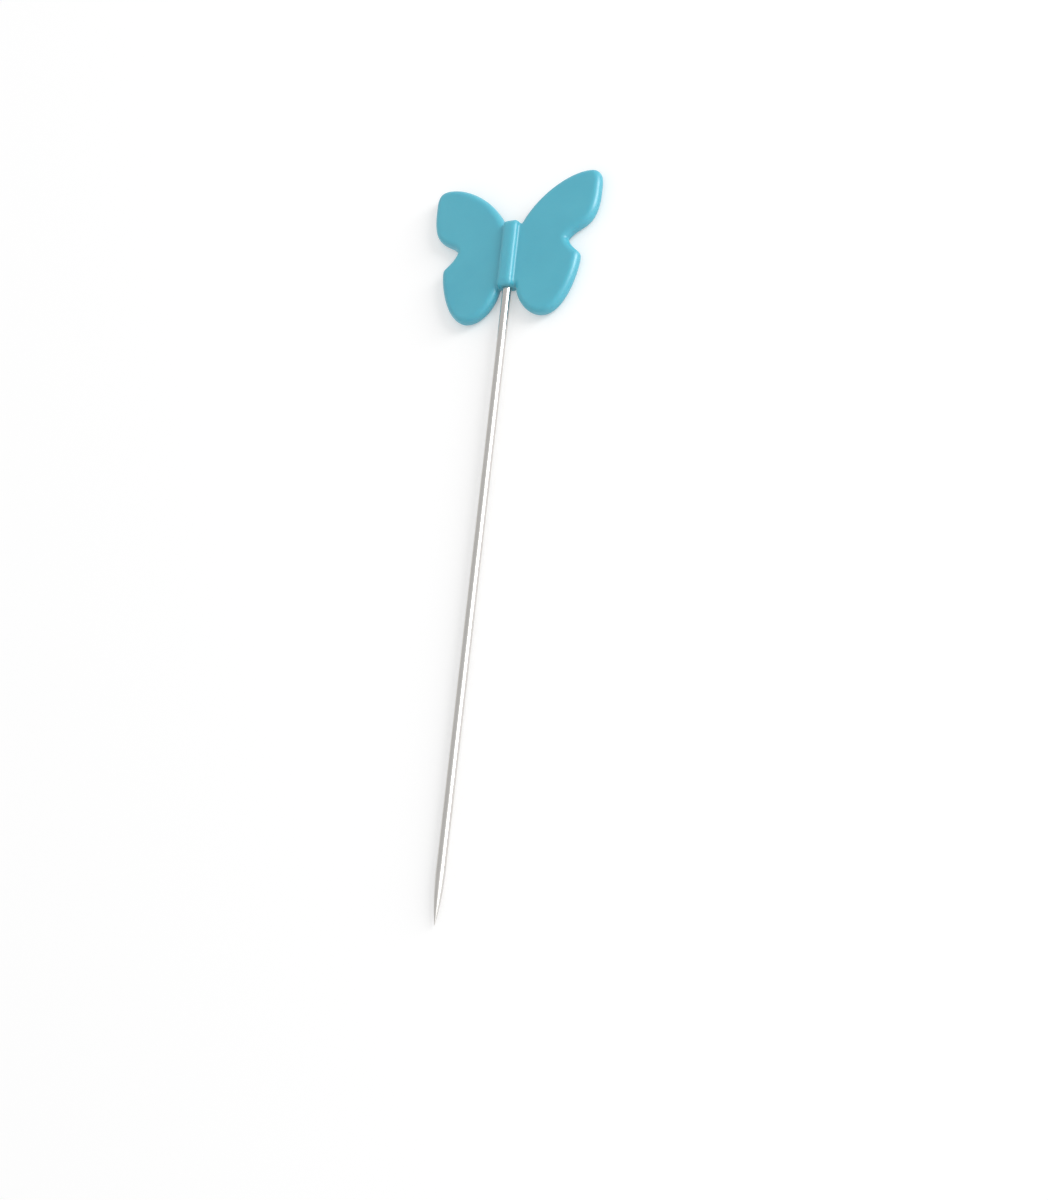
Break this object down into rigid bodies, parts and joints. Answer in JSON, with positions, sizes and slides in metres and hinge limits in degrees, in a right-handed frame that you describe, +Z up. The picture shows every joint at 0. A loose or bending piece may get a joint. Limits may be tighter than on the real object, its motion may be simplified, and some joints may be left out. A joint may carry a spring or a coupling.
{
  "type": "straight pin",
  "caption": "Straight sewing pin of polished steel wire with a sharp ground point and a flat moulded plastic head in the shape of a butterfly, for holding cloth and marking places in quilting.",
  "frame": {"origin": "On the surface that the pin lies on, under the middle of its whole length and width.", "axes": "+X across the wings, +Y along the wire from the point towards the head, +Z up out of the surface that the pin lies on, with the rib on top."},
  "size_m": [0.0138, 0.0588, 0.0016],
  "materials": {
    "steel_wire": "bright nickel plate with fine lengthwise draw lines",
    "teal_plastic": "semi-gloss moulded teal plastic"
  },
  "bodies": {
    "root": {"pin_shaft": "steel_wire", "butterfly_head": "teal_plastic"}
  },
  "joints": []
}
